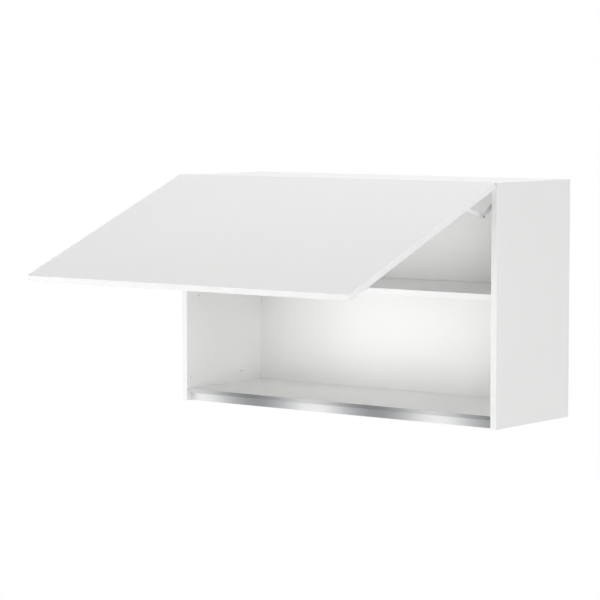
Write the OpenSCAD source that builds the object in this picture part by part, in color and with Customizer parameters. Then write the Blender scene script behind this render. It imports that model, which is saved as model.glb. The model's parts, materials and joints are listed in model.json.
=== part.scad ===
// Lift-up wall cabinet: one full-width flap over a carcase with a shelf.
// Frame: the origin is the middle of the carcase's top rear edge, on the wall.
// +X is to the right seen from the front, the front faces -Y, +Z is up.

/* [Carcase] */
// Width over both side panels
carcase_w = 1000; // [800:10:1200]
// Height of the side panels
carcase_h = 600; // [560:10:720]
// Depth from the wall to the front edges
carcase_d = 330; // [320:5:400]
// Thickness of the carcase boards
board_t = 16; // [15:1:19]
// Thickness of the edge bands
band_t = 1; // [0.5:0.5:2]
// Thickness of the back panel
back_t = 3; // [3:0.5:5]
// Distance from the wall to the back panel
back_inset = 10; // [9:1:16]
// Depth of the grooves that hold the back panel
groove_d = 8; // [5:1:9]
// Play of the back panel in its grooves
groove_play = 0.1; // [0.05:0.05:0.3]

/* [Carcase joints] */
// Diameter of the wooden dowels
dowel_dia = 8; // [6:1:8]
// Length of the wooden dowels
dowel_len = 30; // [25:1:40]
// Length of each dowel that sits in a side panel
dowel_in_side = 11; // [8:1:12]
// Dowels in each corner joint
dowel_count = 4; // [3:1:5]
// Distance of the outer dowels from the front and rear edges
dowel_edge = 45; // [40:1:60]
// Clearance round a dowel and past its ends
dowel_play = 0.05; // [0.03:0.01:0.1]

/* [Grip profile] */
// Height of the bottom panel's top face over the carcase's underside
floor_h = 32; // [30:1:40]
// Height of the metal lip on the bottom panel's front edge
lip_h = 10; // [9:0.5:12]
// Depth of the finger recess under the lip
recess_d = 18; // [15:1:25]
// Wall thickness of the aluminium profile
profile_t = 1.5; // [1.2:0.1:2]
// Width of the profile's screw flange under the bottom panel
profile_flange = 17; // [15:1:25]
// Gap between the profile's ends and the side panels
profile_end_gap = 0.4; // [0.2:0.1:0.8]
// Screws that hold the profile
profile_screws = 5; // [3:1:7]

/* [Side fittings] */
// Diameter of the pilot holes, inside, for screws that join neighbouring cabinets
link_hole_dia = 5; // [4:0.5:6]
// Depth of the pilot holes
link_hole_depth = 12; // [8:1:13]
// Distance of the front pilot holes from the front edge
link_hole_front = 14; // [12:1:16]
// Distance of the rear pilot holes from the wall
link_hole_rear = 100; // [90:1:140]
// Distance of the upper pilot holes from the top
link_hole_top = 230; // [225:1:245]
// Height of the lower pilot holes over the carcase's underside
link_hole_low = 60; // [50:1:120]

/* [Shelf] */
// Height of the shelf's top face under the cabinet's top
shelf_drop = 272; // [250:2:330]
// Thickness of the shelf board
shelf_t = 16; // [15:1:22]
// Distance of the shelf's front edge behind the carcase's front
shelf_setback = 12; // [8:1:40]
// Play of the shelf at each end
shelf_end_play = 1; // [0.5:0.5:2]
// Play between the shelf and the back panel
shelf_back_play = 2; // [1:1:6]
// Diameter of the shelf pins and their holes
pin_dia = 5; // [4:1:6]
// Depth of the shelf-pin holes
pin_hole_depth = 10; // [8:1:12]
// Spacing of the rows of shelf-pin holes
pin_row_pitch = 32; // [25:1:32]
// Rows of shelf-pin holes above and below the shelf's own row
pin_rows_each_way = 1; // [1:1:2]
// Distance of the front pin column from the carcase's front
pin_col_front = 50; // [40:1:80]
// Distance of the rear pin column from the wall
pin_col_rear = 60; // [45:1:90]

/* [Flap] */
// Distance of the flap's ends inside the carcase's outer faces
flap_end_gap = 1.5; // [1:0.5:3]
// Length of the closed flap below the carcase, by which it is gripped
flap_overhang = 31; // [0:1:40]
// Thickness of the flap
flap_t = 16; // [16:1:19]
// Gap between the closed flap and the carcase's front
flap_gap = 3.5; // [3.5:0.1:5]
// Distance of the closed flap's top edge below the cabinet's top
flap_top_gap = 1; // [1:0.5:3]
// Opening angle at which the flap is drawn
flap_open = 68; // [0:1:90]
// Distance of the pivot axis below the flap's top edge
pivot_drop = 7; // [7:0.1:7.4]
// Diameter of the soft buffers on the flap
buffer_dia = 8; // [6:1:10]
// Height of the buffers over the carcase's underside
buffer_h = 40; // [20:1:80]
// Gap left between the buffers and the side panels
buffer_play = 0.3; // [0.2:0.1:0.5]

/* [Hinges] */
// Distance of each hinge from the side panel's inner face
hinge_from_side = 114; // [90:2:200]
// Diameter of the hinge cup
cup_dia = 35; // [35:1:36]
// Depth of the cup's bore in the flap
cup_depth = 13; // [12:0.5:13]
// Distance of the cup's bore from the flap's top edge
cup_edge = 3; // [3:0.1:3.3]
// Clearance round the cup in its bore
cup_play = 0.05; // [0.02:0.01:0.1]
// Thickness of the cup's flange
cup_flange_t = 1; // [0.8:0.1:1.2]
// Spacing of the two screws in the cup's flange
cup_screw_pitch = 48; // [45:1:52]
// Distance of the cup's screws below its middle
cup_screw_drop = 5.5; // [5:0.5:9.5]
// Diameter of the hinge pin
hinge_pin_dia = 3; // [3:0.1:3.2]
// Length of the hinge pin
hinge_pin_len = 14; // [13:0.5:14]
// Width of the hinge arm
arm_w = 8; // [7:0.5:8]
// Thickness of the hinge arm
arm_t = 3; // [2.5:0.5:3]
// Outer radius of the arm's eye round the pin
arm_eye_r = 3; // [2.8:0.1:3]
// Length of the arm behind the carcase's front edge
arm_len = 62; // [55:1:75]
// Thickness of the mounting plate under the top panel
hinge_plate_t = 2; // [2:0.5:3]
// Width of the mounting plate
hinge_plate_w = 46; // [42:1:60]
// Length of the mounting plate
hinge_plate_len = 38; // [30:1:40]
// Spacing of the two screws in the mounting plate
hinge_plate_pitch = 32; // [30:1:32]
// Radial clearance of turning pins
pin_play = 0.05; // [0.03:0.01:0.08]

/* [Lift mechanism] */
// Distance of the lever's axis behind the flap's pivot
lever_back = 84; // [60:1:90]
// Distance of the lever's axis below the flap's pivot
lever_drop = 26; // [26:1:36]
// Distance of the bracket's pin below the flap's pivot, along the flap
bracket_drop = 85; // [80:1:105]
// Distance of the bracket's pin behind the middle of the flap
bracket_out = 18; // [18:1:24]
// Thickness of the levers, links and bracket ears
lever_t = 4; // [3:0.5:4]
// Gap between neighbouring levers, links and ears
lever_gap = 1; // [0.8:0.1:1.2]
// Diameter of the pins through the levers and links
lever_pin_dia = 6; // [5:0.5:7]
// Radial clearance where the link turns on the bracket's pin
bracket_pin_play = 0.15; // [0.1:0.05:0.2]
// Width of the lever and the link between their eyes
lever_w = 10; // [8:1:11]
// Outer diameter of the eyes
eye_d = 13; // [12:0.5:14]
// Diameter of the cam's shaft
shaft_dia = 10; // [8:1:12]
// Thickness of the whole housing
housing_t = 22; // [22:1:26]
// Length of the housing in front of the lever's axis
housing_front = 39; // [39:1:42]
// Length of the housing behind the lever's axis
housing_rear = 38; // [38:1:60]
// Lower end of the housing below the cabinet's top
housing_low = 185; // [183:1:220]
// Gap between the housing and the top panel
housing_top_gap = 2; // [1:0.5:4]
// Wall thickness of the plastic cover
cover_t = 1.6; // [1.2:0.1:2]
// Thickness of the steel base
base_t = 2; // [1.5:0.5:2.5]
// Corner radius of the cover
cover_r = 8; // [4:1:10]

/* [Spring drive] */
// Distance from the cam's axis to the roller's axis, flap closed
roller_far = 42; // [40:0.5:42]
// Distance from the cam's axis to the roller's axis, flap opened by 90 degrees
roller_near = 20; // [19:0.5:24]
// Radius of the roller
roller_r = 7; // [6:0.5:7.5]
// Width of the roller and thickness of the cam
roller_w = 5.4; // [5:0.2:6]
// Gap between the cam and the roller
cam_play = 0.3; // [0.2:0.1:0.5]
// Outer diameter of each spring
spring_dia = 15.6; // [14:0.2:16]
// Wire diameter of the springs
spring_wire = 2.4; // [2:0.2:2.6]
// Turns of each spring
spring_turns = 10; // [8:1:12]
// Sideways distance between the axes of the two springs
spring_pitch = 18; // [18:0.5:20]
// Height of the springs' lower seat over the housing's lower end
seat_h = 18; // [14:1:22]

/* [Hangers] */
// Thickness of the hanger's body
hanger_t = 17; // [16:1:20]
// Depth of the hanger's body
hanger_d = 64; // [60:1:75]
// Height of the hanger's body
hanger_h = 60; // [58:1:70]
// Thickness of the hook plate
hook_t = 2.5; // [2:0.5:3]
// Height of the hook plate
hook_h = 18; // [16:1:20]
// Length of the tooth that drops behind the wall rail
hook_tooth = 14; // [10:1:16]
// Thickness of the tooth
hook_tooth_t = 2.2; // [2:0.1:3]
// Gap between the hook and the wall
hook_wall_gap = 1; // [0.5:0.1:1.5]
// Height adjustment of the hook each way
hook_travel = 5; // [3:1:6]
// Clearance of the hook in its body
hook_play = 0.3; // [0.2:0.1:0.4]

/* [Hidden] */
$fn = 64;

// Overcut that carries a cut past a face
eps = 1;
LEFT = -1;
RIGHT = 1;

// Planes of the carcase
side_in = carcase_w / 2 - board_t;
front_y = -carcase_d;
floor_z = floor_h - carcase_h;
back_front_y = -(back_inset + back_t);
board_y = front_y + band_t;

// Dowels
dowel_r = dowel_dia / 2;
dowel_first_y = front_y + dowel_edge;
dowel_step = (carcase_d - 2 * dowel_edge) / (dowel_count - 1);

// Grip profile
web_y = front_y + recess_d;
nose_under_z = floor_z - lip_h + profile_t;
profile_len = 2 * (side_in - profile_end_gap);
profile_screw_y = web_y + profile_t + profile_flange / 2;
profile_screw_end = 60;

// Shelf
shelf_under_z = -shelf_drop - shelf_t;
shelf_front_y = front_y + shelf_setback;
shelf_half_w = side_in - shelf_end_play;
pin_z = shelf_under_z - pin_dia / 2;
pin_head_r = 4.5;
pin_head_len = 8;
pin_end_play = 0.5;
pin_ys = [front_y + pin_col_front, -pin_col_rear];

// Flap and its pivot, with the flap closed
flap_w = carcase_w - 2 * flap_end_gap;
flap_h = carcase_h - flap_top_gap + flap_overhang;
pivot_y = front_y - flap_gap - flap_t / 2;
pivot_z = -flap_top_gap - pivot_drop;
flap_in = flap_t / 2;
cup_r = cup_dia / 2;
cup_mid = pivot_drop - cup_edge - cup_r;
cup_screw_z = cup_mid - cup_screw_drop;
cup_rim = 1.5;
cup_ear_d = 12;
cup_ear_w = 10;
hinge_x = side_in - hinge_from_side;

// Hinge arm
arm_top_z = -board_t - hinge_plate_t;
arm_low_z = arm_top_z - arm_t;
arm_leg_t = 4;
arm_rear_w = 14;
arm_end_y = front_y + arm_len;
plate_arm_step = 2;
plate_front_y = arm_end_y - hinge_plate_len - plate_arm_step;
plate_mid_y = plate_front_y + hinge_plate_len / 2;
hinge_pin_r = hinge_pin_dia / 2;
pocket_play = 0.4;
pocket_bottom = 1.5;
pocket_drop = 10.5;

// Lift mechanism: axis of the lever, and the layers across the width
lever_y = pivot_y + lever_back;
lever_z = pivot_z - lever_drop;
housing_lever_gap = 0.5;
housing_x = side_in - housing_t;
lever_x = housing_x - housing_lever_gap - lever_t;
link_x = lever_x - lever_gap - lever_t;
ear_x = link_x - lever_gap - lever_t;
lever_pin_r = lever_pin_dia / 2;
shaft_r = shaft_dia / 2;
hub_wall = 4;
hub_r = shaft_r + hub_wall;
bearing_len = 2;
rivet_head = 0.8;
rivet_lip = 1.5;
rivet_gap = 0.2;

// Bracket on the flap
bracket_w = 30;
bracket_h = 44;
bracket_base_t = 2;
bracket_ear_w = eye_d + 2;
bracket_screw_in = 12;
bracket_screw_x = ear_x - bracket_screw_in;
bracket_screw_pitch = 28;

// Housing of the mechanism
housing_y0 = lever_y - housing_front;
housing_y1 = lever_y + housing_rear;
housing_z1 = -board_t - housing_top_gap;
housing_z0 = -housing_low;
base_gap = 0.3;
base_r = cover_r - cover_t;
base_x = side_in - base_t;
base_y0 = housing_y0 + cover_t + base_gap;
base_y1 = housing_y1 - cover_t - base_gap;
base_z0 = housing_z0 + cover_t + base_gap;
base_z1 = housing_z1 - cover_t - base_gap;
guide_end_gap = 1;
flange_x = housing_x + cover_t + guide_end_gap;
stay_screw_inset = 8;
stay_screw_ys = [base_y0 + stay_screw_inset, base_y1 - stay_screw_inset];
stay_screw_zs = [base_z0 + stay_screw_inset, base_z1 - stay_screw_inset];

// Cam, roller and slider
function roller_dist(a) = roller_far - (roller_far - roller_near) * a / 90;
cam_rate = (roller_far - roller_near) / 90 * 180 / PI;
roller_z = lever_z - roller_dist(flap_open);
drive_shift = 0.5;
drive_x = housing_x + housing_t / 2 - drive_shift;
cheek_gap = 0.4;
cheek_t = 2.4;
cheek_half_w = 6;
roller_pin_r = 2.5;
slider_half_x = roller_w / 2 + cheek_gap + cheek_t;
slider_top = roller_r + 2;
slider_plate = 4;
skirt_t = 2;
skirt_len = 30;
skirt_in = spring_pitch / 2 + spring_dia / 2 + 0.5;
guide_gap = 0.3;
guide_in = skirt_in + skirt_t + guide_gap;
guide_t = 2;
guide_top_z = lever_z - roller_far + roller_r;
seat_t = 4;
spring_low_z = housing_z0 + seat_h;
spring_high_z = roller_z - slider_top - slider_plate;
adjuster_r = 3;
adjuster_head_r = 5;
adjuster_head_h = 3;

// Hangers
hanger_top_gap = 1;
hanger_z1 = -board_t - hanger_top_gap;
hanger_z0 = hanger_z1 - hanger_h;
hanger_x = side_in - hanger_t;
hook_inset = 5;
hook_x = hanger_x + hook_inset;
hook_over_mid = 8;
hook_mid_z = hanger_z1 - hanger_h / 2 + hook_over_mid;
hook_len = 46;
corner_cut_inset = 1.5;
hanger_front_y = back_front_y - hanger_d;
hanger_screw_inset = 8;
hanger_screw_y = hanger_front_y + hanger_screw_inset;
adjusting_screw_pitch = 18;

// Screws: radius, head radius, head height, and length under the head
euro_screw = [3.1, 4.6, 1.8, 12];
hanger_screw = [2.5, 4.5, 2, hanger_t + 11];
adjusting_screw = [2.5, 4.2, 2, 9];
flap_screw = [2, 3.8, 1.2, 12];
profile_screw = [1.75, 3.3, 1.2, 12];
thread_play = 0.02;
screw_slot_w = 0.9;
adjuster_slot_d = 1.5;

// Colours
WHITE = [0.95, 0.95, 0.94];
EDGE = [0.93, 0.93, 0.92];
WOOD = [0.80, 0.66, 0.46];
ALU = [0.75, 0.76, 0.78];
STEEL = [0.66, 0.67, 0.69];
DARK_STEEL = [0.40, 0.41, 0.43];
PLASTIC = [0.86, 0.86, 0.85];
RUBBER = [0.80, 0.82, 0.84];

// ---------------------------------------------------------------- helpers

// A box from its lowest to its highest corner
module block(low, high) {
    translate(low) cube(high - low);
}

// A cylinder along X between two planes, round the axis through (y, z)
module rod_x(r, x0, x1, y = 0, z = 0) {
    translate([x0, y, z]) rotate([0, 90, 0]) cylinder(r = r, h = x1 - x0);
}

// A cylinder along Y between two planes, round the axis through (x, z)
module rod_y(r, y0, y1, x = 0, z = 0) {
    translate([x, y0, z]) rotate([-90, 0, 0]) cylinder(r = r, h = y1 - y0);
}

// A cylinder along Z between two planes, round the axis through (x, y)
module rod_z(r, z0, z1, x = 0, y = 0) {
    translate([x, y, z0]) cylinder(r = r, h = z1 - z0);
}

// What is drawn on the right, or its mirror image on the left
module on_side(side) {
    if (side == RIGHT) children();
    else mirror([1, 0, 0]) children();
}

// What rides on the flap, drawn closed with the pivot axis as its origin
module on_flap() {
    translate([0, pivot_y, pivot_z]) rotate([-flap_open, 0, 0]) children();
}

// What turns with the lever, drawn for the closed flap round the lever's axis
module on_lever() {
    translate([0, lever_y, lever_z]) rotate([-flap_open, 0, 0]) children();
}

// What the link carries: it keeps its direction and its lever end moves
module on_link() {
    on_lever() translate([0, bracket_out, -bracket_drop]) rotate([flap_open, 0, 0]) children();
}

// A flat profile drawn in (y, z), of thickness t from plane x on
module slab_x(x, t) {
    translate([x, 0, 0]) rotate([90, 0, 90]) linear_extrude(t) children();
}

// A flat bar between two points, with a round eye at each end that is wider than the bar
module bar_outline(from, to, eye_d, bar_w) {
    run = to - from;
    translate(from) circle(d = eye_d);
    translate(to) circle(d = eye_d);
    translate(from) rotate(atan2(run[1], run[0])) translate([0, -bar_w / 2]) square([norm(run), bar_w]);
}

// A rectangle with round corners between two corners
module round_rect(low, high, r) {
    translate([low[0] + r, low[1]]) square([high[0] - low[0] - 2 * r, high[1] - low[1]]);
    translate([low[0], low[1] + r]) square([high[0] - low[0], high[1] - low[1] - 2 * r]);
    for (u = [low[0] + r, high[0] - r], v = [low[1] + r, high[1] - r]) translate([u, v]) circle(r);
}

// A screw along -Z whose head rests on the plane z = 0
module screw(s) {
    difference() {
        union() {
            cylinder(r = s[1], h = s[2]);
            translate([0, 0, -s[3]]) cylinder(r = s[0], h = s[3]);
        }
        for (turn = [0, 90]) rotate(turn)
            translate([-s[0], -screw_slot_w / 2, s[2] / 3]) cube([2 * s[0], screw_slot_w, s[2]]);
    }
}

// The hole that such a screw sits in
module screw_hole(s) {
    translate([0, 0, -s[3] - eps / 2]) cylinder(r = s[0] + thread_play, h = s[3] + eps);
}

// A compression spring along Z, swept as a closed tube
module coil_spring(mean_r, wire_r, length, turns) {
    sides = 6;
    steps = 14 * turns;
    rise = (length - 2 * wire_r) / steps;
    points = [for (i = [0:steps], k = [0:sides - 1])
        let (a = 360 * turns * i / steps, b = 360 * k / sides, r = mean_r + wire_r * cos(b))
        [r * cos(a), r * sin(a), wire_r + rise * i + wire_r * sin(b)]];
    wall = [for (i = [0:steps - 1], k = [0:sides - 1])
        let (a = i * sides + k, b = i * sides + (k + 1) % sides) [a, a + sides, b + sides, b]];
    ends = [[for (k = [0:sides - 1]) k], [for (k = [sides - 1:-1:0]) steps * sides + k]];
    polyhedron(points = points, faces = concat(wall, ends), convexity = 6);
}

// ---------------------------------------------------------------- carcase

// Where the dowels of one corner joint stand along the depth
module each_dowel_y() {
    for (i = [0:dowel_count - 1]) translate([0, dowel_first_y + i * dowel_step, 0]) children();
}

// Dowel holes in the inner face of the right side panel and in the panels' right ends
module dowel_holes_right() {
    for (z = [-board_t / 2, floor_z - board_t / 2]) translate([0, 0, z]) each_dowel_y()
        rod_x(dowel_r + dowel_play, side_in - (dowel_len - dowel_in_side) - dowel_play,
            side_in + dowel_in_side + dowel_play);
}

// The grooved ring that the back panel sits in, cut from the boards round it
module back_groove() {
    block([-side_in - groove_d, back_front_y - groove_play, floor_z - groove_d],
        [side_in + groove_d, -back_inset + groove_play, -board_t + groove_d]);
}

// Screw places on the right side panel: stays and hanger
module stay_screw_places() {
    for (y = stay_screw_ys, z = stay_screw_zs)
        translate([base_x, y, z]) rotate([0, -90, 0]) children();
}
module hanger_screw_places() {
    for (z = [hanger_z0 + hanger_screw_inset, hanger_z1 - hanger_screw_inset])
        translate([hanger_x, hanger_screw_y, z]) rotate([0, -90, 0]) children();
}

// Screw places of the right hinge's mounting plate
module plate_screw_places() {
    for (x = [-1, 1] * hinge_plate_pitch / 2)
        translate([hinge_x + x, plate_mid_y, arm_top_z]) rotate([180, 0, 0]) children();
}

module shelf_pin_places() {
    for (y = pin_ys) translate([side_in, y, pin_z]) children();
}

module side_panel(side) {
    color(WHITE) on_side(side) difference() {
        block([side_in, board_y, -carcase_h], [side_in + board_t, 0, 0]);
        back_groove();
        dowel_holes_right();
        for (row = [-pin_rows_each_way:pin_rows_each_way]) translate([0, 0, row * pin_row_pitch])
            shelf_pin_places() rod_x(pin_dia / 2 + thread_play, -eps, pin_hole_depth);
        for (y = [front_y + link_hole_front, -link_hole_rear],
            z = [-link_hole_top, link_hole_low - carcase_h])
            rod_x(link_hole_dia / 2, side_in - eps, side_in + link_hole_depth, y, z);
        stay_screw_places() screw_hole(euro_screw);
        hanger_screw_places() screw_hole(hanger_screw);
    }
}

module side_edge_band(side) {
    color(EDGE) on_side(side) block([side_in, front_y, -carcase_h], [side_in + board_t, board_y, 0]);
}

module top_panel() {
    color(WHITE) difference() {
        block([-side_in, board_y, -board_t], [side_in, 0, 0]);
        back_groove();
        for (side = [LEFT, RIGHT]) on_side(side) {
            dowel_holes_right();
            plate_screw_places() screw_hole(euro_screw);
        }
    }
}

module top_edge_band() {
    color(EDGE) block([-side_in, front_y, -board_t], [side_in, board_y, 0]);
}

module profile_screw_places() {
    span = profile_len - 2 * profile_screw_end;
    for (i = [0:profile_screws - 1])
        translate([span * (i / (profile_screws - 1) - 0.5), profile_screw_y,
            floor_z - board_t - profile_t]) rotate([180, 0, 0]) children();
}

module bottom_panel() {
    color(WHITE) difference() {
        block([-side_in, front_y + profile_t, floor_z - board_t], [side_in, 0, floor_z]);
        block([-side_in - eps, front_y - eps, floor_z - board_t - eps],
            [side_in + eps, web_y + profile_t, nose_under_z]);
        back_groove();
        for (side = [LEFT, RIGHT]) on_side(side) dowel_holes_right();
        profile_screw_places() screw_hole(profile_screw);
    }
}

module back_panel() {
    half_w = side_in + groove_d - groove_play;
    color(WHITE) difference() {
        block([-half_w, back_front_y, floor_z - groove_d + groove_play],
            [half_w, -back_inset, -board_t + groove_d - groove_play]);
        // corners left open for the hanger hooks
        for (side = [LEFT, RIGHT]) on_side(side)
            block([hanger_x + corner_cut_inset, back_front_y - eps, hanger_z0 + corner_cut_inset],
                [half_w + eps, 0, 0]);
    }
}

// Aluminium profile: front lip, roof and back wall of the recess, and screw flange
module grip_profile() {
    color(ALU) difference() {
        slab_x(-profile_len / 2, profile_len) {
            translate([front_y, floor_z - lip_h]) square([profile_t, lip_h]);
            translate([front_y, nose_under_z - profile_t]) square([recess_d + profile_t, profile_t]);
            translate([web_y, -carcase_h]) square([profile_t, carcase_h + nose_under_z]);
            translate([web_y, floor_z - board_t - profile_t])
                square([profile_t + profile_flange, profile_t]);
        }
        profile_screw_places() screw_hole(profile_screw);
    }
}

module grip_profile_screws() {
    color(STEEL) profile_screw_places() screw(profile_screw);
}

module carcase_dowels() {
    color(WOOD) for (side = [LEFT, RIGHT], z = [-board_t / 2, floor_z - board_t / 2])
        on_side(side) translate([0, 0, z]) each_dowel_y()
            rod_x(dowel_r, side_in - (dowel_len - dowel_in_side), side_in + dowel_in_side);
}

module carcase_euro_screws() {
    color(STEEL) for (side = [LEFT, RIGHT]) on_side(side) {
        stay_screw_places() screw(euro_screw);
        plate_screw_places() screw(euro_screw);
    }
}

// ---------------------------------------------------------------- shelf

module shelf_panel() {
    color(WHITE) block([-shelf_half_w, shelf_front_y + band_t, shelf_under_z],
        [shelf_half_w, back_front_y - shelf_back_play, -shelf_drop]);
}

module shelf_edge_band() {
    color(EDGE) block([-shelf_half_w, shelf_front_y, shelf_under_z],
        [shelf_half_w, shelf_front_y + band_t, -shelf_drop]);
}

// Each pin has a round shank in the side panel and a flat-topped head under the shelf
module shelf_pins() {
    color(STEEL) for (side = [LEFT, RIGHT]) on_side(side) shelf_pin_places() {
        rod_x(pin_dia / 2, -eps, pin_hole_depth - pin_end_play);
        difference() {
            rod_x(pin_head_r, -pin_head_len, 0);
            block([-pin_head_len - eps, -pin_head_r - eps, pin_dia / 2],
                [eps, pin_head_r + eps, pin_head_r + eps]);
        }
    }
}

// ---------------------------------------------------------------- flap

// Screws in the flap's inner face: hinge cups and mechanism brackets
module cup_screw_places() {
    for (x = [-1, 1] * cup_screw_pitch / 2)
        translate([hinge_x + x, flap_in + cup_flange_t, cup_screw_z]) rotate([-90, 0, 0]) children();
}
module bracket_screw_places() {
    for (z = [-1, 1] * bracket_screw_pitch / 2)
        translate([bracket_screw_x, flap_in + bracket_base_t, z - bracket_drop])
            rotate([-90, 0, 0]) children();
}

module flap_panel() {
    color(WHITE) on_flap() difference() {
        block([-flap_w / 2, -flap_in, pivot_drop - flap_h], [flap_w / 2, flap_in, pivot_drop]);
        for (side = [LEFT, RIGHT]) on_side(side) {
            rod_y(cup_r, flap_in - cup_depth, flap_in + eps, hinge_x, cup_mid);
            cup_screw_places() screw_hole(flap_screw);
            bracket_screw_places() screw_hole(flap_screw);
        }
    }
}

module flap_buffers() {
    color(RUBBER) on_flap() for (side = [LEFT, RIGHT]) on_side(side)
        rod_y(buffer_dia / 2, flap_in, flap_in + flap_gap - buffer_play,
            side_in + board_t / 2, buffer_h - carcase_h - pivot_z);
}

module flap_screws() {
    color(STEEL) on_flap() for (side = [LEFT, RIGHT]) on_side(side) {
        cup_screw_places() screw(flap_screw);
        bracket_screw_places() screw(flap_screw);
    }
}

// ---------------------------------------------------------------- hinges

// Cast cup with a flange on the flap and a pocket in which the arm swings
module hinge_cup(side) {
    pocket_half = arm_w / 2 + pocket_play;
    color(STEEL) on_flap() on_side(side) difference() {
        union() {
            rod_y(cup_r - cup_play, flap_in - cup_depth + cup_play, flap_in, hinge_x, cup_mid);
            translate([hinge_x, flap_in + cup_flange_t, 0]) rotate([90, 0, 0])
                linear_extrude(cup_flange_t) {
                    translate([0, cup_mid]) circle(cup_r + cup_rim);
                    translate([0, cup_screw_z])
                        bar_outline([-cup_screw_pitch / 2, 0], [cup_screw_pitch / 2, 0],
                            cup_ear_d, cup_ear_w);
                }
        }
        block([hinge_x - pocket_half, flap_in - cup_depth + pocket_bottom, cup_mid - pocket_drop],
            [hinge_x + pocket_half, flap_in + cup_flange_t + eps, pivot_drop]);
        rod_x(hinge_pin_r, hinge_x - hinge_pin_len / 2, hinge_x + hinge_pin_len / 2);
        cup_screw_places() screw_hole(flap_screw);
    }
}

module hinge_pins() {
    color(DARK_STEEL) on_flap() for (side = [LEFT, RIGHT]) on_side(side)
        rod_x(hinge_pin_r, hinge_x - hinge_pin_len / 2, hinge_x + hinge_pin_len / 2);
}

// Goose-neck arm: eye on the pin, leg down behind the flap, foot under the top panel
module hinge_arm(side) {
    color(STEEL) on_side(side) difference() {
        union() {
            rod_x(arm_eye_r, hinge_x - arm_w / 2, hinge_x + arm_w / 2, pivot_y, pivot_z);
            block([hinge_x - arm_w / 2, pivot_y - arm_leg_t / 2, arm_low_z],
                [hinge_x + arm_w / 2, pivot_y + arm_leg_t / 2, pivot_z]);
            block([hinge_x - arm_w / 2, pivot_y - arm_leg_t / 2, arm_low_z],
                [hinge_x + arm_w / 2, plate_front_y, arm_top_z]);
            block([hinge_x - arm_rear_w / 2, plate_front_y, arm_low_z],
                [hinge_x + arm_rear_w / 2, arm_end_y, arm_top_z]);
        }
        rod_x(hinge_pin_r + pin_play, hinge_x - arm_w, hinge_x + arm_w, pivot_y, pivot_z);
    }
}

module hinge_plate(side) {
    color(STEEL) on_side(side) difference() {
        block([hinge_x - hinge_plate_w / 2, plate_front_y, arm_top_z],
            [hinge_x + hinge_plate_w / 2, plate_front_y + hinge_plate_len, -board_t]);
        plate_screw_places() screw_hole(euro_screw);
    }
}

// ---------------------------------------------------------------- lift mechanism

// Pressed base on the side panel, with a bearing, two guides and the spring's abutment
module stay_base(side) {
    color(STEEL) on_side(side) difference() {
        union() {
            slab_x(base_x, base_t) round_rect([base_y0, base_z0], [base_y1, base_z1], base_r);
            rod_x(hub_r, base_x - bearing_len, base_x, lever_y, lever_z);
            for (dir = [-1, 1]) translate([0, lever_y + dir * (guide_in + guide_t / 2), 0])
                block([flange_x, -guide_t / 2, base_z0], [base_x, guide_t / 2, guide_top_z]);
            block([flange_x, lever_y - guide_in - guide_t, base_z0],
                [base_x, lever_y + guide_in + guide_t, base_z0 + base_t]);
        }
        rod_x(shaft_r + pin_play, base_x - bearing_len - eps, side_in + eps, lever_y, lever_z);
        rod_z(adjuster_r + thread_play, base_z0 - eps, base_z0 + base_t + eps, drive_x, lever_y);
        stay_screw_places() screw_hole(euro_screw);
    }
}

// Plastic cover, open towards the side panel
module stay_cover(side) {
    color(PLASTIC) on_side(side) difference() {
        slab_x(housing_x, housing_t) round_rect([housing_y0, housing_z0], [housing_y1, housing_z1], cover_r);
        slab_x(housing_x + cover_t, housing_t)
            round_rect([housing_y0 + cover_t, housing_z0 + cover_t],
                [housing_y1 - cover_t, housing_z1 - cover_t], cover_r - cover_t);
        rod_x(shaft_r + base_gap, housing_x - eps, housing_x + cover_t + eps, lever_y, lever_z);
        rod_z(adjuster_head_r + base_gap, housing_z0 - eps, housing_z0 + cover_t + eps, drive_x, lever_y);
    }
}

// Point of the cam's working edge that meets the roller at opening angle a
function cam_edge(a) =
    let (d = roller_dist(a), n = norm([d, cam_rate]), gap = roller_r + cam_play)
    [d * sin(a) - gap * (d * sin(a) + cam_rate * cos(a)) / n,
     -d * cos(a) - gap * (-d * cos(a) + cam_rate * sin(a)) / n];

// Cam on its shaft: its edge falls evenly with the opening angle, a little past both ends
// of the swing, and the round heel closes it
module stay_cam(side) {
    edge = [for (a = [-4:3:95]) cam_edge(a)];
    heel = [for (a = [110:10:340]) hub_r * [sin(a), -cos(a)]];
    color(DARK_STEEL) on_side(side) on_lever() {
        slab_x(drive_x - roller_w / 2, roller_w) polygon(concat(edge, heel));
        rod_x(shaft_r, lever_x, side_in - base_gap);
    }
}

module stay_lever(side) {
    color(STEEL) on_side(side) on_lever() difference() {
        slab_x(lever_x, lever_t) {
            circle(hub_r);
            bar_outline([0, 0], [bracket_out, -bracket_drop], eye_d, lever_w);
        }
        rod_x(shaft_r, lever_x - eps, lever_x + lever_t + eps);
        rod_x(lever_pin_r, lever_x - eps, lever_x + lever_t + eps, bracket_out, -bracket_drop);
    }
}

// Rivet that the link turns on, fixed in the lever
module stay_lever_pin(side) {
    color(DARK_STEEL) on_side(side) on_link() {
        rod_x(lever_pin_r, link_x - rivet_gap, lever_x + lever_t);
        rod_x(lever_pin_r + rivet_lip, link_x - rivet_gap - rivet_head, link_x - rivet_gap);
    }
}

module stay_link(side) {
    color(STEEL) on_side(side) on_link() difference() {
        slab_x(link_x, lever_t) bar_outline([0, 0], [-lever_back, lever_drop], eye_d, lever_w);
        rod_x(lever_pin_r + pin_play, link_x - eps, link_x + lever_t + eps);
        rod_x(lever_pin_r + bracket_pin_play, link_x - eps, link_x + lever_t + eps,
            -lever_back, lever_drop);
    }
}

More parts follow.
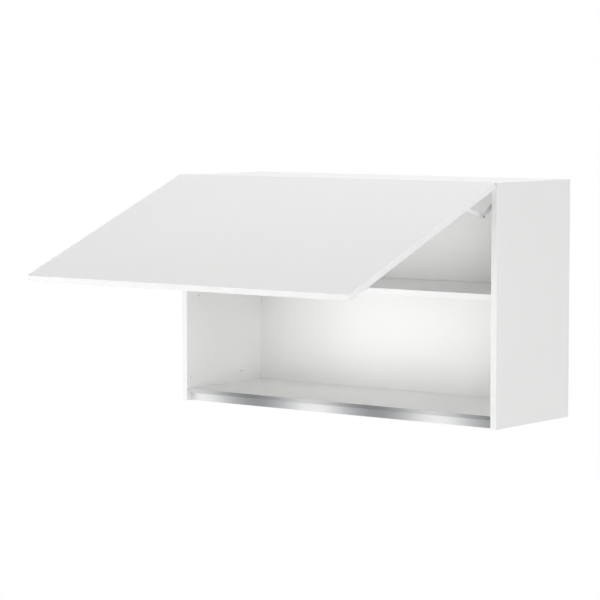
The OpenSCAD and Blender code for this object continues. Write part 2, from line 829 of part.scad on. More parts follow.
// Angle bracket on the flap: a screwed base and an ear for the link
module stay_bracket(side) {
    color(STEEL) on_flap() on_side(side) difference() {
        union() {
            block([ear_x + lever_t - bracket_w, flap_in, -bracket_drop - bracket_h / 2],
                [ear_x + lever_t, flap_in + bracket_base_t, -bracket_drop + bracket_h / 2]);
            slab_x(ear_x, lever_t) {
                translate([flap_in, -bracket_drop - bracket_ear_w / 2])
                    square([bracket_out - flap_in, bracket_ear_w]);
                translate([bracket_out, -bracket_drop]) circle(d = eye_d);
            }
        }
        rod_x(lever_pin_r, ear_x - eps, ear_x + lever_t + eps, bracket_out, -bracket_drop);
        bracket_screw_places() screw_hole(flap_screw);
    }
}

module bracket_pins() {
    far_x = link_x + lever_t + rivet_gap;
    color(DARK_STEEL) on_flap() for (side = [LEFT, RIGHT]) on_side(side)
        translate([0, bracket_out, -bracket_drop]) {
            rod_x(lever_pin_r, ear_x, far_x);
            rod_x(lever_pin_r + rivet_lip, far_x, far_x + rivet_head / 2);
        }
}

// Carriage that the roller pushes down and the springs push up
module stay_slider(side) {
    color(STEEL) on_side(side) translate([drive_x, lever_y, roller_z]) {
        block([-slider_half_x, -skirt_in - skirt_t, -slider_top - slider_plate],
            [slider_half_x, skirt_in + skirt_t, -slider_top]);
        for (dir = [-1, 1]) {
            translate([0, dir * (skirt_in + skirt_t / 2), 0])
                block([-slider_half_x, -skirt_t / 2, -slider_top - slider_plate - skirt_len],
                    [slider_half_x, skirt_t / 2, -slider_top]);
            translate([dir * (slider_half_x - cheek_t / 2), 0, 0])
                block([-cheek_t / 2, -cheek_half_w, -slider_top - eps],
                    [cheek_t / 2, cheek_half_w, cheek_half_w]);
        }
        rod_x(roller_pin_r, -slider_half_x, slider_half_x);
    }
}

module stay_roller(side) {
    color(DARK_STEEL) on_side(side) translate([drive_x, lever_y, roller_z]) difference() {
        rod_x(roller_r, -roller_w / 2, roller_w / 2);
        rod_x(roller_pin_r + pin_play, -roller_w, roller_w);
    }
}

module stay_springs(side) {
    color(DARK_STEEL) on_side(side) for (dir = [-1, 1])
        translate([drive_x, lever_y + dir * spring_pitch / 2, spring_low_z])
            coil_spring((spring_dia - spring_wire) / 2, spring_wire / 2,
                spring_high_z - spring_low_z, spring_turns);
}

module stay_spring_seat(side) {
    color(STEEL) on_side(side) translate([0, lever_y, 0])
        block([drive_x - slider_half_x, -guide_in + guide_gap, spring_low_z - seat_t],
            [drive_x + slider_half_x, guide_in - guide_gap, spring_low_z]);
}

module stay_adjuster(side) {
    head_z = base_z0 - adjuster_head_h;
    color(STEEL) on_side(side) translate([drive_x, lever_y, 0]) difference() {
        union() {
            rod_z(adjuster_r, base_z0, spring_low_z - seat_t);
            rod_z(adjuster_head_r, head_z, base_z0);
        }
        for (turn = [0, 90]) rotate(turn)
            block([-adjuster_r, -screw_slot_w / 2, head_z - eps],
                [adjuster_r, screw_slot_w / 2, head_z + adjuster_slot_d]);
    }
}

// ---------------------------------------------------------------- hangers

module adjusting_screw_places() {
    for (dir = [-1, 1])
        translate([hook_x + hook_t / 2, hanger_front_y,
            hanger_z0 + hanger_h / 2 + dir * adjusting_screw_pitch / 2]) rotate([90, 0, 0]) children();
}

// Block on the side panel with a slot for the hook, open towards the wall
module hanger_body(side) {
    slot_z1 = hook_mid_z + hook_h / 2 + hook_travel + hook_play;
    slot_z0 = hook_mid_z - hook_h / 2 - hook_tooth - hook_travel - hook_play;
    color(PLASTIC) on_side(side) difference() {
        block([hanger_x, hanger_front_y, hanger_z0], [side_in, back_front_y, hanger_z1]);
        block([hook_x - hook_play, back_front_y - hook_len - hook_play, slot_z0],
            [hook_x + hook_t + hook_play, back_front_y + eps, slot_z1]);
        hanger_screw_places() screw_hole(hanger_screw);
        adjusting_screw_places() screw_hole(adjusting_screw);
    }
}

// Hook plate: its tooth drops behind the rail that is fixed to the wall
module hanger_hook(side) {
    rear_y = -hook_wall_gap;
    low_z = hook_mid_z - hook_h / 2;
    color(DARK_STEEL) on_side(side) slab_x(hook_x, hook_t) {
        translate([back_front_y - hook_len, low_z]) square([hook_len - back_front_y + rear_y, hook_h]);
        translate([rear_y - hook_tooth_t, low_z - hook_tooth]) square([hook_tooth_t, hook_tooth + eps]);
    }
}

module hanger_adjusting_screws() {
    color(STEEL) for (side = [LEFT, RIGHT]) on_side(side)
        adjusting_screw_places() screw(adjusting_screw);
}

module hanger_screws() {
    color(STEEL) for (side = [LEFT, RIGHT]) on_side(side) hanger_screw_places() screw(hanger_screw);
}

// ---------------------------------------------------------------- output

side_panel(LEFT);  // side_panel_left
side_panel(RIGHT);  // side_panel_right
top_panel();
bottom_panel();
back_panel();
side_edge_band(LEFT);  // side_edge_band_left
side_edge_band(RIGHT);  // side_edge_band_right
top_edge_band();
grip_profile();
grip_profile_screws();
carcase_dowels();
carcase_euro_screws();
shelf_panel();
shelf_edge_band();
shelf_pins();
flap_panel();
flap_buffers();
flap_screws();
hinge_pins();
bracket_pins();
hinge_cup(LEFT);  // hinge_left_cup
hinge_cup(RIGHT);  // hinge_right_cup
hinge_arm(LEFT);  // hinge_left_arm
hinge_arm(RIGHT);  // hinge_right_arm
hinge_plate(LEFT);  // hinge_left_plate
hinge_plate(RIGHT);  // hinge_right_plate
stay_base(LEFT);  // stay_left_base
stay_base(RIGHT);  // stay_right_base
stay_cover(LEFT);  // stay_left_cover
stay_cover(RIGHT);  // stay_right_cover
stay_cam(LEFT);  // stay_left_cam
stay_cam(RIGHT);  // stay_right_cam
stay_lever(LEFT);  // stay_left_lever
stay_lever(RIGHT);  // stay_right_lever
stay_lever_pin(LEFT);  // stay_left_lever_pin
stay_lever_pin(RIGHT);  // stay_right_lever_pin
stay_link(LEFT);  // stay_left_link
stay_link(RIGHT);  // stay_right_link
stay_bracket(LEFT);  // stay_left_bracket
stay_bracket(RIGHT);  // stay_right_bracket
stay_slider(LEFT);  // stay_left_slider
stay_slider(RIGHT);  // stay_right_slider
stay_roller(LEFT);  // stay_left_roller
stay_roller(RIGHT);  // stay_right_roller
stay_springs(LEFT);  // stay_left_springs
stay_springs(RIGHT);  // stay_right_springs
stay_spring_seat(LEFT);  // stay_left_spring_seat
stay_spring_seat(RIGHT);  // stay_right_spring_seat
stay_adjuster(LEFT);  // stay_left_adjuster
stay_adjuster(RIGHT);  // stay_right_adjuster
hanger_body(LEFT);  // hanger_left_body
hanger_body(RIGHT);  // hanger_right_body
hanger_hook(LEFT);  // hanger_left_hook
hanger_hook(RIGHT);  // hanger_right_hook
hanger_adjusting_screws();
hanger_screws();
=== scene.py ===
# Looks of the lift-up wall cabinet, in the frame of its construction model.
# Metres. The origin is the middle of the carcase's top rear edge; the front faces -Y, +Z is up.
import json
import math

import bmesh
import bpy
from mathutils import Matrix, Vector

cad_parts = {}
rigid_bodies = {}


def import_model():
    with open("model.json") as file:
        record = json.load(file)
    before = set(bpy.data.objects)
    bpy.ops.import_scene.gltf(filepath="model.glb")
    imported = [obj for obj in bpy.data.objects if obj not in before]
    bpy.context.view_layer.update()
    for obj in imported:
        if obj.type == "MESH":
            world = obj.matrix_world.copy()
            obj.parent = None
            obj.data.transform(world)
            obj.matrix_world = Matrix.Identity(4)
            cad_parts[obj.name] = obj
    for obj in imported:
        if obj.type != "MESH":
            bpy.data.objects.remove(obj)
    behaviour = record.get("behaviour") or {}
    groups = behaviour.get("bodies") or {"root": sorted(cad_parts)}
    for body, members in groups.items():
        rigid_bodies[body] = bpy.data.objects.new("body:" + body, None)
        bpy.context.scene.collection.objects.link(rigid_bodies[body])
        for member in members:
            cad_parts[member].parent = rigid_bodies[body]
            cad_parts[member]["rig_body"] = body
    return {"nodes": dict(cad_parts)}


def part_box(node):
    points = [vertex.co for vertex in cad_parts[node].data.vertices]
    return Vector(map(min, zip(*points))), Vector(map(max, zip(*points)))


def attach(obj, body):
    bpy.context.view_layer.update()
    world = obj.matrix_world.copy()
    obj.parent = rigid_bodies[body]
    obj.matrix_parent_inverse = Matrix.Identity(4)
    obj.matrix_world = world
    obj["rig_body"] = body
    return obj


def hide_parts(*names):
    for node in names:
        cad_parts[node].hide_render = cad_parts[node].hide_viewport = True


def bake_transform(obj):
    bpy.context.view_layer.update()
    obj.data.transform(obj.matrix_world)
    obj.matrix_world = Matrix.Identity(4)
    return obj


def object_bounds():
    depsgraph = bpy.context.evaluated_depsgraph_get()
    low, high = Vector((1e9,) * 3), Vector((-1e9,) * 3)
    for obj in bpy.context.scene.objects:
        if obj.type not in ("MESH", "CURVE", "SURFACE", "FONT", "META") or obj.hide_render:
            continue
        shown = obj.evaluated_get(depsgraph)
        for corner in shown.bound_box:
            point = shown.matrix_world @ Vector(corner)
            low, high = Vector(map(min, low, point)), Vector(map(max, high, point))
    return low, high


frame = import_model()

cad_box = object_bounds()

MILLIMETRE = 0.001
SIDES = ("left", "right")

# ---------------------------------------------------------------- finishes

# Nearly all of a noise lies between these two levels
NOISE_LOW, NOISE_HIGH = 0.3, 0.7


class Finish:
    """A Principled material whose nodes are added one call at a time, in object space."""

    def __init__(self, name, **sockets):
        self.material = bpy.data.materials.new(name)
        self.material.use_nodes = True
        self.tree = self.material.node_tree
        self.shader = self.tree.nodes["Principled BSDF"]
        self.fill(self.shader, {socket.replace("_", " "): value for socket, value in sockets.items()})
        self.place = self.tree.nodes.new("ShaderNodeTexCoord").outputs["Object"]

    def fill(self, node, values):
        """Links or sets the node's sockets."""
        for socket, value in values.items():
            if isinstance(value, bpy.types.NodeSocket):
                self.tree.links.new(value, node.inputs[socket])
            else:
                node.inputs[socket].default_value = value

    def add(self, kind, values=None, **settings):
        node = self.tree.nodes.new("ShaderNode" + kind)
        for name, value in settings.items():
            setattr(node, name, value)
        self.fill(node, values or {})
        return node

    def stretched(self, along):
        """Object coordinates, scaled along X, Y and Z."""
        return self.add("Mapping", {"Vector": self.place, "Scale": along}).outputs["Vector"]

    def noise(self, size, detail=2.0, along=(1, 1, 1)):
        """Noise whose features are about size metres wide."""
        values = {"Vector": self.stretched(along), "Scale": 1 / size, "Detail": detail}
        return self.add("TexNoise", values).outputs["Fac"]

    def cells(self, per_metre, along):
        """A broken pattern, each of whose cells has its own random colour."""
        values = {"Vector": self.stretched(along), "Scale": per_metre}
        return self.add("TexVoronoi", values).outputs

    def ramp(self, factor, *stops):
        """A colour or level between the stops (position, value)."""
        node = self.add("ValToRGB", {"Fac": factor})
        points = node.color_ramp.elements
        while len(points) < len(stops):
            points.new(0.5)
        for point, (position, value) in zip(points, stops):
            point.position = position
            point.color = (*value, 1) if isinstance(value, tuple) else (value, value, value, 1)
        return node.outputs["Color"]

    def product(self, first, second, share=1.0):
        """The first colour, darkened by a share of the second."""
        # For colours, the node takes its share at 0, the two at 6 and 7, and gives the result at 2
        node = self.add("Mix", data_type="RGBA", blend_type="MULTIPLY")
        self.fill(node, {0: share, 6: first, 7: second})
        return node.outputs[2]

    def colour(self, value):
        self.fill(self.shader, {"Base Color": value})

    def clouds(self, tint, darkest, size, detail=3.0):
        """The tint as colour, down to a darkest share of it in clouds about size metres wide."""
        stops = (NOISE_LOW, shade(tint, darkest)), (NOISE_HIGH, tint)
        self.colour(self.ramp(self.noise(size, detail), *stops))

    def rough(self, factor, low, high):
        """Roughness from low to high, as the factor goes."""
        values = {"Value": factor, "From Min": NOISE_LOW, "From Max": NOISE_HIGH,
                  "To Min": low, "To Max": high}
        self.fill(self.shader, {"Roughness": self.add("MapRange", values).outputs["Result"]})

    def bump(self, height, strength, depth):
        values = {"Height": height, "Strength": strength, "Distance": depth}
        self.fill(self.shader, {"Normal": self.add("Bump", values).outputs["Normal"]})


def shade(colour, share):
    """The colour times a share."""
    return tuple(level * share for level in colour)


def white_board(name, white):
    """Melamine facing, with a fine pearl texture."""
    finish = Finish(name)
    finish.clouds(white, 0.985, 0.16)
    finish.rough(finish.noise(0.004), 0.36, 0.48)
    finish.bump(finish.noise(0.0011, 3), 0.25, 0.00006)
    return finish.material


def white_band():
    """Edge band, with faint streaks up and down."""
    white = (0.82, 0.82, 0.815)
    finish = Finish("white_edge_band")
    finish.colour(finish.ramp(finish.noise(0.03), (0.35, shade(white, 0.985)), (0.65, white)))
    finish.rough(finish.noise(0.006, along=(1, 1, 0.2)), 0.34, 0.44)
    finish.bump(finish.noise(0.0008, along=(1, 1, 0.15)), 0.2, 0.00005)
    return finish.material


def white_lacquer():
    """Satin lacquer, with a slight orange peel."""
    finish = Finish("white_lacquer", Coat_Weight=0.25, Coat_Roughness=0.12)
    finish.clouds((0.85, 0.85, 0.845), 0.99, 0.2)
    finish.rough(finish.noise(0.01), 0.33, 0.40)
    finish.bump(finish.noise(0.006, 1), 0.04, 0.00005)
    return finish.material


def raw_chipboard():
    """Pressed chips of several sizes, as a sawn edge shows them."""
    finish = Finish("raw_chipboard")
    chips = finish.cells(620.0, (0.5, 1, 1.3))
    dust = finish.cells(1500.0, (0.8, 1, 1.2))
    tint = finish.ramp(chips["Color"], (0.05, (0.40, 0.28, 0.17)), (0.3, (0.52, 0.39, 0.25)),
                       (0.7, (0.60, 0.47, 0.32)), (1.0, (0.68, 0.56, 0.41)))
    fine = finish.ramp(dust["Color"], (0.1, 0.78), (0.9, 1.0))
    wide = finish.ramp(finish.noise(0.03, 3), (NOISE_LOW, 0.92), (NOISE_HIGH, 1.0))
    finish.colour(finish.product(finish.product(tint, fine, 0.9), wide))
    finish.rough(dust["Distance"], 0.78, 0.92)
    finish.bump(chips["Distance"], 0.5, 0.0003)
    return finish.material


def raw_hardboard():
    """The uncoated rear of the thin back: pressed brown fibres."""
    brown = (0.40, 0.28, 0.18)
    finish = Finish("raw_hardboard")
    fibres = finish.noise(0.0012, 5, along=(0.35, 1, 1))
    tint = finish.ramp(fibres, (0.3, shade(brown, 0.8)), (0.5, brown), (0.72, (0.50, 0.37, 0.25)))
    wide = finish.ramp(finish.noise(0.12, 3), (NOISE_LOW, 0.9), (NOISE_HIGH, 1.0))
    finish.colour(finish.product(tint, wide))
    finish.rough(fibres, 0.68, 0.82)
    finish.bump(fibres, 0.35, 0.0001)
    return finish.material


def hard_fibre_back():
    """White coating on a thin fibreboard, with a fine grain."""
    finish = Finish("white_coated_fibreboard")
    finish.clouds((0.92, 0.92, 0.915), 0.985, 0.2)
    finish.rough(finish.noise(0.005), 0.46, 0.56)
    finish.bump(finish.noise(0.0018, 3), 0.2, 0.00006)
    return finish.material


# Painted reflection: the strip's colour has bright bands a pitch apart, one of them this far left of its
# middle, as the drawing's metal strip has them
PAINTED_REFLECTION_PITCH = 0.387
PAINTED_REFLECTION_START = 0.07
PAINTED_REFLECTION_BRIGHT, PAINTED_REFLECTION_MIDDLE, PAINTED_REFLECTION_DULL = (0.94, 0.945, 0.95), (0.60, 0.605, 0.615), (0.35, 0.355, 0.365)


def brushed_aluminium_with_painted_reflection(name, level):
    """Satin metal with a painted reflection: bright and dull bands in its colour along the strip, as in
    the drawing; a level under 1 darkens it all as painted shade.
    """
    finish = Finish(name, Metallic=1.0)
    x = finish.add("SeparateXYZ", {"Vector": finish.place}).outputs["X"]
    turn = 2 * math.pi / PAINTED_REFLECTION_PITCH
    # Painted reflection: a cosine along X sets the bright and dull bands of the colour
    angle = finish.add("Math", {0: x, 1: turn, 2: PAINTED_REFLECTION_START * turn}, operation="MULTIPLY_ADD")
    painted_reflection_wave = finish.add("Math", {0: angle.outputs[0]}, operation="COSINE").outputs[0]
    share = finish.add("MapRange", {"Value": painted_reflection_wave, "From Min": -1.0, "From Max": 1.0}).outputs["Result"]
    streaks = finish.noise(0.0006, 3, along=(0.02, 1, 1))
    painted_reflection = finish.ramp(share, (0.0, shade(PAINTED_REFLECTION_DULL, level)), (0.5, shade(PAINTED_REFLECTION_MIDDLE, level)),
                        (1.0, shade(PAINTED_REFLECTION_BRIGHT, level)))
    finish.colour(finish.product(painted_reflection, finish.ramp(streaks, (NOISE_LOW, 0.86), (NOISE_HIGH, 1.0))))
    finish.rough(streaks, 0.33, 0.45)
    finish.bump(streaks, 0.15, 0.00003)
    return finish.material


def plated_steel():
    """Bright zinc, with faint blotches of the plating."""
    finish = Finish("plated_steel", Metallic=1.0)
    finish.clouds((0.72, 0.73, 0.75), 0.88, 0.007, 4)
    finish.rough(finish.noise(0.002, 3), 0.32, 0.42)
    finish.bump(finish.noise(0.0006, 3), 0.1, 0.00003)
    return finish.material


def oiled_steel():
    """Hardened steel, dark and a little uneven."""
    finish = Finish("oiled_steel", Metallic=1.0)
    finish.clouds((0.33, 0.34, 0.36), 0.75, 0.004, 4)
    finish.rough(finish.noise(0.0015, 3), 0.32, 0.5)
    finish.bump(finish.noise(0.0007, 3), 0.15, 0.00004)
    return finish.material


def powder_coat():
    """Light grey powder coat, with its fine pebbled skin."""
    finish = Finish("light_powder_coat")
    finish.clouds((0.74, 0.745, 0.745), 0.965, 0.012)
    finish.rough(finish.noise(0.0015), 0.4, 0.52)
    finish.bump(finish.noise(0.0009, 3), 0.35, 0.00008)
    return finish.material


def grained_plastic():
    """Light grey moulded plastic, with an eroded grain."""
    finish = Finish("grained_plastic")
    finish.clouds((0.76, 0.765, 0.765), 0.97, 0.02)
    finish.rough(finish.noise(0.001), 0.45, 0.58)
    finish.bump(finish.noise(0.00035), 0.4, 0.00006)
    return finish.material


def clear_rubber():
    """Soft rubber that lets half the light through."""
    finish = Finish("clear_rubber", Roughness=0.3, Transmission_Weight=0.5, IOR=1.46)
    finish.clouds((0.86, 0.88, 0.89), 0.93, 0.002)
    finish.bump(finish.noise(0.0006), 0.2, 0.00004)
    return finish.material


def beech():
    """Plain wood, with its grain along X."""
    finish = Finish("beech", Roughness=0.6)
    grain = finish.noise(0.0012, 4, along=(0.08, 1, 1))
    finish.colour(finish.ramp(grain, (0.3, (0.46, 0.30, 0.17)), (0.5, (0.62, 0.44, 0.27)),
                              (0.75, (0.72, 0.55, 0.37))))
    finish.bump(grain, 0.3, 0.0001)
    return finish.material


BOARD = white_board("white_melamine", (0.92, 0.92, 0.915))
# Painted shade: the same melamine, darker than the inside's, for the sides' outer faces
SHADED_OUTER_BOARD = white_board("white_melamine_outside_painted_shade", (0.785, 0.785, 0.78))
BAND = white_band()
LACQUER = white_lacquer()
CHIPBOARD = raw_chipboard()
FIBREBOARD = hard_fibre_back()
HARDBOARD = raw_hardboard()
REFLECTION_PAINTED_ALUMINIUM = brushed_aluminium_with_painted_reflection("brushed_aluminium_with_painted_reflection", 1.0)
# Painted shade: the lip takes the same metal at 0.74 of its brightness, darker than the strip
LIP_ALUMINIUM_WITH_PAINTED_SHADE = brushed_aluminium_with_painted_reflection("brushed_aluminium_lip_with_painted_shade", 0.74)
PLATED = plated_steel()
OILED = oiled_steel()
COATED = powder_coat()
PLASTIC = grained_plastic()
RUBBER = clear_rubber()
BEECH = beech()

# ---------------------------------------------------------------- pieces

# Edges whose two faces differ in direction by more than this are rounded
EDGE_ANGLE = math.radians(28)
# Shading stays sharp at edges over this angle
SHARP_ANGLE = math.radians(40)
# Neighbouring faces that differ by less than this are one flat face
FLAT_ANGLE = math.radians(0.6)
# Points nearer to each other than this are one
WELD = 0.000001
# A face looks along a direction when its normal's share along it is over this
FACING = 0.9


def body_of(node):
    return frame["nodes"][node]["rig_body"]


def finish_mesh(piece):
    """Smooth shading that stays crisp on flat faces beside rounded edges."""
    piece.data.polygons.foreach_set("use_smooth", [True] * len(piece.data.polygons))
    piece.data.set_sharp_from_angle(angle=SHARP_ANGLE)
    piece.modifiers.new("face_weighted_normals", "WEIGHTED_NORMAL").keep_sharp = True


def new_piece(name, form, materials, body=None):
    """A mesh piece, bound to the body when one is given."""
    mesh = bpy.data.meshes.new(name)
    form.to_mesh(mesh)
    form.free()
    piece = bpy.data.objects.new(name, mesh)
    bpy.context.scene.collection.objects.link(piece)
    for material in materials:
        mesh.materials.append(material)
    finish_mesh(piece)
    if body:
        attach(piece, body)
    return piece


def form_of(node):
    """The node's mesh with its doubled points merged and its flat faces made whole."""
    form = bmesh.new()
    form.from_mesh(frame["nodes"][node].data)
    bmesh.ops.remove_doubles(form, verts=form.verts, dist=WELD)
    bmesh.ops.dissolve_limit(form, angle_limit=FLAT_ANGLE, verts=form.verts, edges=form.edges)
    return form


def round_edges(form, width, steps):
    sharp = [edge for edge in form.edges
             if len(edge.link_faces) == 2 and edge.calc_face_angle(0.0) > EDGE_ANGLE]
    bmesh.ops.bevel(form, geom=sharp, offset=width, offset_type="OFFSET", segments=steps, profile=0.5,
                    affect="EDGES", clamp_overlap=False, miter_outer="ARC")


def dressed(node, materials, width, steps=2, paint=None, shape=None):
    """Puts a copy of the node with rounded edges in its place."""
    form = form_of(node)
    if shape:
        shape(form)
    if paint:
        for face in form.faces:
            face.material_index = paint(face)
    round_edges(form, width, steps)
    piece = new_piece(node + "_finish", form, materials, body_of(node))
    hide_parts(node)


def board_side(face):
    """1, the raw board, on faces that look to the wall, 2, the white darkened as painted shade, on the
    sides' outer faces, and else 0.
    """
    if face.normal.y > FACING:
        return 1
    return 2 if abs(face.calc_center_median().x) > cad_box[1].x - WELD else 0


def raw_back(face):
    """0, the white coat, only on the face that looks into the cabinet."""
    return 0 if face.normal.y < -FACING else 1


# The flap is shown opened by this much
FLAP_OPEN = math.radians(68)
FLAP_DOWN = Vector((0, -math.sin(FLAP_OPEN), -math.cos(FLAP_OPEN)))
FLAP_OUT = Vector((0, -math.cos(FLAP_OPEN), math.sin(FLAP_OPEN)))


def flap_side(face):
    """0, the lacquer, on the outer face, 1, the edge band, on the narrow sides, and else 2."""
    if abs(face.normal.x) > FACING or abs(face.normal.dot(FLAP_DOWN)) > FACING:
        return 1
    return 0 if face.normal.dot(FLAP_OUT) > FACING else 2


LIP_REACH = 15 * MILLIMETRE


def lip_of_grip(face):
    """1, the metal's darker copy that paints shade, on the profile's lip, which lies ahead of its strip.
    """
    return 1 if face.calc_center_median().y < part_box("grip_profile")[0].y + LIP_REACH else 0


# Radii of the rounded edges
BOARD_EDGE = 0.2 * MILLIMETRE
BAND_EDGE = 0.35 * MILLIMETRE
PROFILE_EDGE = 0.3 * MILLIMETRE
FLAP_EDGE = 1.2 * MILLIMETRE
SCREW_EDGE = 0.15 * MILLIMETRE
STEEL_EDGE = 0.25 * MILLIMETRE
SOFT_EDGE = 0.5 * MILLIMETRE


def dress_carcase():
    for node in ("side_panel_left", "side_panel_right", "top_panel", "bottom_panel", "shelf_panel"):
        dressed(node, [BOARD, CHIPBOARD, SHADED_OUTER_BOARD], BOARD_EDGE, paint=board_side)
    for node in ("side_edge_band_left", "side_edge_band_right", "top_edge_band", "shelf_edge_band"):
        dressed(node, [BAND], BAND_EDGE, 3)
    dressed("back_panel", [FIBREBOARD, HARDBOARD], BOARD_EDGE, paint=raw_back)
    dressed("grip_profile", [REFLECTION_PAINTED_ALUMINIUM, LIP_ALUMINIUM_WITH_PAINTED_SHADE], PROFILE_EDGE, paint=lip_of_grip)
    dressed("flap_panel", [LACQUER, BAND, BOARD], FLAP_EDGE, 4, flap_side)


SPRING_TURNS = 10
SPRING_WIRE = 2.4 * MILLIMETRE
# Rise of the closed turn at each end, as a share of an even coil's
CLOSED_RISE = 0.35
STEPS_PER_TURN = 24
WIRE_SIDES = 10


def coil_rise(share):
    """Share of the height at a share of the wire: the first and last turns lie closed."""
    closed = 1 / SPRING_TURNS
    ends = min(share, closed) + max(share - 1 + closed, 0)
    middle = min(max(share - closed, 0), 1 - 2 * closed)
    open_rise = (1 - 2 * closed * CLOSED_RISE) / (1 - 2 * closed)
    return CLOSED_RISE * ends + open_rise * middle


def wire_ring(form, middle, out):
    """The wire's round cross-section, in the plane of the direction out and Z."""
    ring = []
    for side in range(WIRE_SIDES):
        turn = 2 * math.pi * side / WIRE_SIDES
        reach = out * math.cos(turn) + Vector((0, 0, math.sin(turn)))
        ring.append(form.verts.new(middle + SPRING_WIRE / 2 * reach))
    return ring


def add_coil(form, centre, low, high, radius):
    """A round wire wound around a line along Z, with closed ends."""
    count = SPRING_TURNS * STEPS_PER_TURN
    rings = []
    for step in range(count + 1):
        angle = 2 * math.pi * step / STEPS_PER_TURN
        out = Vector((math.cos(angle), math.sin(angle), 0))
        z = low + SPRING_WIRE / 2 + coil_rise(step / count) * (high - low - SPRING_WIRE)
        rings.append(wire_ring(form, Vector((*centre, z)) + out * radius, out))
    for below, above in zip(rings, rings[1:]):
        for side in range(WIRE_SIDES):
            beside = (side + 1) % WIRE_SIDES
            form.faces.new((below[side], above[side], above[beside], below[beside]))
    form.faces.new(rings[0])
    form.faces.new(rings[-1][::-1])


def wind_springs(side):
    """Two springs side by side, wound at one fixed length; in the stay they shorten as the carriage goes
    down.
    """
    node = f"stay_{side}_springs"
    low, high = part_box(node)
    outer = (high.x - low.x) / 2
    form = bmesh.new()
    for y in (low.y + outer, high.y - outer):
        add_coil(form, ((low.x + high.x) / 2, y), low.z, high.z, outer - SPRING_WIRE / 2)
    bmesh.ops.recalc_face_normals(form, faces=form.faces)
    piece = new_piece(node + "_finish", form, [OILED])
    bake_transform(piece)
    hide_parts(node)


COVER_RIM = 5 * MILLIMETRE
COVER_STEP = 0.6 * MILLIMETRE


def sink_cover_face(form):
    """The cover's large face lies a little below its rim."""
    low = min(point.co.x for point in form.verts)
    high = max(point.co.x for point in form.verts)
    inner = low if abs(low) < abs(high) else high
    large = [face for face in form.faces
             if abs(face.calc_center_median().x - inner) < WELD and abs(face.normal.x) > FACING]
    for width, depth in ((COVER_RIM, 0), (COVER_STEP, -COVER_STEP)):
        bmesh.ops.inset_region(form, faces=large, thickness=width, depth=depth, use_even_offset=True)


def dress_fittings():
    for node in ("grip_profile_screws", "carcase_euro_screws", "shelf_pins", "flap_screws",
                 "hanger_screws", "hanger_adjusting_screws"):
        dressed(node, [PLATED], SCREW_EDGE)
    for side in SIDES:
        for part in ("cup", "arm", "plate"):
            dressed(f"hinge_{side}_{part}", [PLATED], STEEL_EDGE)
        for part in ("lever", "link"):
            dressed(f"stay_{side}_{part}", [COATED], SOFT_EDGE, 3)
        for part in ("base", "bracket", "slider", "spring_seat", "adjuster"):
            dressed(f"stay_{side}_{part}", [PLATED], STEEL_EDGE)
        for part in ("cam", "lever_pin", "roller"):
            dressed(f"stay_{side}_{part}", [OILED], STEEL_EDGE)
        dressed(f"stay_{side}_cover", [PLASTIC], SOFT_EDGE, 3, shape=sink_cover_face)
        dressed(f"hanger_{side}_body", [PLASTIC], SOFT_EDGE, 3)
        dressed(f"hanger_{side}_hook", [OILED], STEEL_EDGE)
    for node in ("hinge_pins", "bracket_pins"):
        dressed(node, [OILED], SCREW_EDGE)
    dressed("flap_buffers", [RUBBER], SOFT_EDGE, 4)
    dressed("carcase_dowels", [BEECH], SOFT_EDGE)
    for side in SIDES:
        wind_springs(side)


dress_carcase()
dress_fittings()

# ---------------------------------------------------------------- floor, light and camera

WHITE = (1, 1, 1, 1)
# The floor lies this far under the cabinet
FLOOR_DROP = 1.45
FLOOR_SIZE = 80
# It fades to white between these distances from the spot under the origin
FADE_START, FADE_END = 2.0, 4.5


def seen_rays(tree):
    """1 for what the camera sees, straight or in metal and clear pieces, and 0 for light."""
    rays = tree.nodes.new("ShaderNodeLightPath")
    total = rays.outputs["Is Camera Ray"]
    for kind in ("Is Glossy Ray", "Is Transmission Ray"):
        either = tree.nodes.new("ShaderNodeMath")
        either.operation = "MAXIMUM"
        tree.links.new(total, either.inputs[0])
        tree.links.new(rays.outputs[kind], either.inputs[1])
        total = either.outputs[0]
    return total


def make_floor():
    """A pale floor under the cabinet that fades to white far away, and is clear from below."""
    bpy.ops.mesh.primitive_plane_add(size=FLOOR_SIZE, location=(0, 0, cad_box[0].z - FLOOR_DROP))
    floor = bpy.context.object
    floor.name = "floor"
    finish = Finish("pale_floor", Base_Color=(0.8, 0.8, 0.8, 1), Roughness=0.7)
    away = finish.add("VectorMath", {0: finish.place}, operation="LENGTH").outputs["Value"]
    fade = finish.add("MapRange", {"Value": away, "From Min": FADE_START, "From Max": FADE_END})
    seen = {0: fade.outputs["Result"], 1: seen_rays(finish.tree)}
    share = finish.add("Math", seen, operation="MULTIPLY").outputs[0]
    white = finish.add("Emission", {"Color": WHITE, "Strength": 1.0}).outputs[0]
    both = finish.add("MixShader", {0: share, 1: finish.shader.outputs[0], 2: white}).outputs[0]
    below = finish.add("NewGeometry").outputs["Backfacing"]
    clear = finish.add("BsdfTransparent").outputs[0]
    surface = finish.add("MixShader", {0: below, 1: both, 2: clear}).outputs[0]
    finish.fill(finish.tree.nodes["Material Output"], {"Surface": surface})
    floor.data.materials.append(finish.material)


ROOM_LIGHT = 0.12
# Soft boxes: place, what they look at, width, height and power
SOFT_BOXES = {
    "low_front": ((-1.6, -4.1, -1.0), (0, -0.2, -0.3), 3.0, 1.9, 61),
    "key_left": ((-4.6, -3.9, -0.5), (0, -0.2, -0.35), 3.0, 2.8, 80),
    "front_right": ((4.4, -4.0, -0.3), (-0.2, -0.2, -0.35), 3.0, 2.8, 122),
    "side_right": ((4.4, 0.6, 0.1), (0.5, -0.2, -0.3), 2.6, 2.6, 63),
    "side_left": ((-4.4, 0.4, 0.1), (-0.5, -0.2, -0.3), 2.6, 2.6, 60),
    "top": ((0.1, -0.4, 3.2), (0.1, -0.4, -0.1), 3.0, 2.4, 84),
    "rear": ((-1.5, 4.0, -0.2), (0, 0, -0.3), 3.0, 2.6, 100),
}


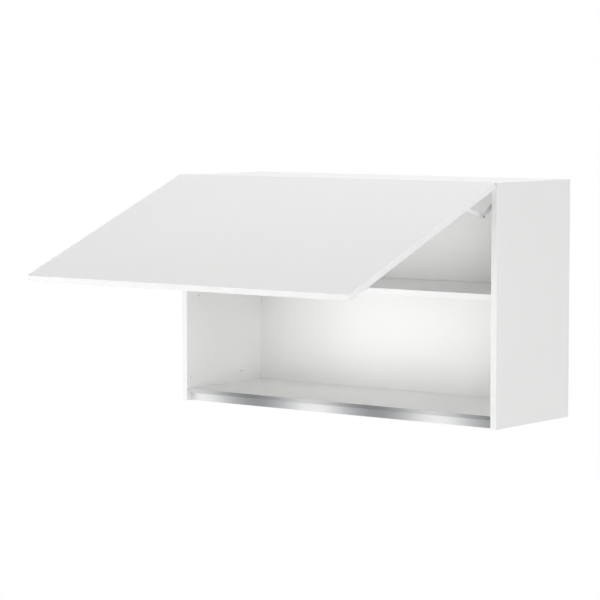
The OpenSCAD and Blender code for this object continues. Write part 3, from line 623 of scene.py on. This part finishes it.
def make_room():
    """An even room that camera, metal and glass see as plain white."""
    world = bpy.data.worlds.new("room")
    bpy.context.scene.world = world
    world.use_nodes = True
    tree = world.node_tree
    room = tree.nodes["Background"]
    room.inputs["Color"].default_value = WHITE
    room.inputs["Strength"].default_value = ROOM_LIGHT
    seen = tree.nodes.new("ShaderNodeBackground")
    seen.inputs["Color"].default_value = WHITE
    mix = tree.nodes.new("ShaderNodeMixShader")
    tree.links.new(seen_rays(tree), mix.inputs[0])
    tree.links.new(room.outputs[0], mix.inputs[1])
    tree.links.new(seen.outputs[0], mix.inputs[2])
    tree.links.new(mix.outputs[0], tree.nodes["World Output"].inputs["Surface"])


def make_lamps():
    for name, (place, aim, width, height, power) in SOFT_BOXES.items():
        data = bpy.data.lights.new(name, "AREA")
        data.shape = "RECTANGLE"
        data.size = width
        data.size_y = height
        data.energy = power
        lamp = bpy.data.objects.new(name, data)
        bpy.context.scene.collection.objects.link(lamp)
        lamp.location = place
        lamp.rotation_euler = (Vector(aim) - Vector(place)).to_track_quat("-Z", "Y").to_euler()
        lamp.visible_glossy = False
        lamp.visible_camera = False


# The drawing's own view: from the front right and a little above
VIEW_AZIMUTH = math.radians(37.97)
VIEW_ELEVATION = math.radians(4.61)
VIEW_DISTANCE = 6.679
VIEW_TARGET = Vector((-0.103, -0.330, -0.313))
# Lens and sensor in millimetres
VIEW_LENS = 156.4
VIEW_SENSOR = 36
# The camera sees this far
VIEW_REACH = 200


def make_camera():
    across = math.cos(VIEW_ELEVATION)
    back = Vector((math.sin(VIEW_AZIMUTH) * across, -math.cos(VIEW_AZIMUTH) * across,
                   math.sin(VIEW_ELEVATION)))
    data = bpy.data.cameras.new("camera")
    data.sensor_width = VIEW_SENSOR
    data.lens = VIEW_LENS
    data.clip_end = VIEW_REACH
    camera = bpy.data.objects.new("camera", data)
    bpy.context.scene.collection.objects.link(camera)
    camera.location = VIEW_TARGET + back * VIEW_DISTANCE
    camera.rotation_euler = (-back).to_track_quat("-Z", "Y").to_euler()
    bpy.context.scene.camera = camera


make_floor()
make_room()
make_lamps()
make_camera()
bpy.context.scene.view_settings.view_transform = "Standard"
